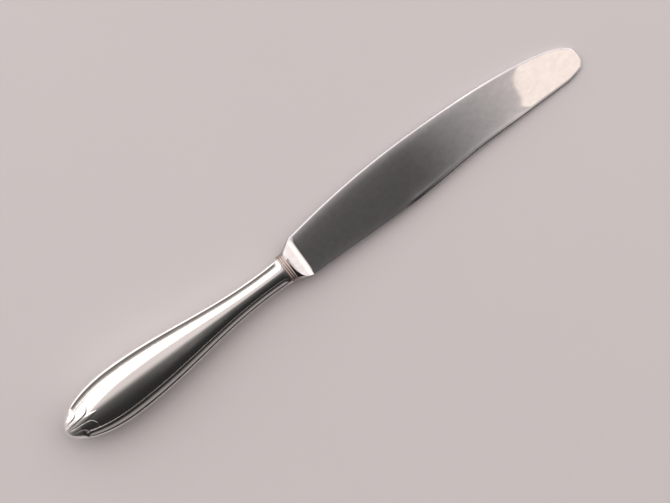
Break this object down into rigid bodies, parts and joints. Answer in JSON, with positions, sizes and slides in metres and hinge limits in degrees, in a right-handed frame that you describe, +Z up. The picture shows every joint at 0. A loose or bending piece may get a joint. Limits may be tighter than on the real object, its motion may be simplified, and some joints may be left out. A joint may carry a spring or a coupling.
{
  "type": "dessert knife",
  "caption": "Hollow-handled dessert knife: thread-bordered silver handle with a leaf spray at its butt, reeded ferrule, and a broad steel blade with a convex spine and a clipped tip.",
  "frame": {"origin": "on the surface that the knife lies on, midway along it and midway across it", "axes": "+X along the knife towards the tip of the blade, +Y across it towards the spine, +Z up, away from the surface"},
  "size_m": [0.205, 0.0204, 0.0111],
  "materials": {
    "silver": "polished silver, warm tarnish in the grooves",
    "steel": "polished stainless steel, fine marks of use",
    "solder": "dull solder",
    "cement": "dull brown cutler's cement"
  },
  "bodies": {
    "root": {"blade": "steel", "handle_front_half": "silver", "handle_back_half": "silver", "seam_solder": "solder", "ferrule": "silver", "ferrule_solder": "solder", "cement_core": "cement"}
  },
  "joints": []
}
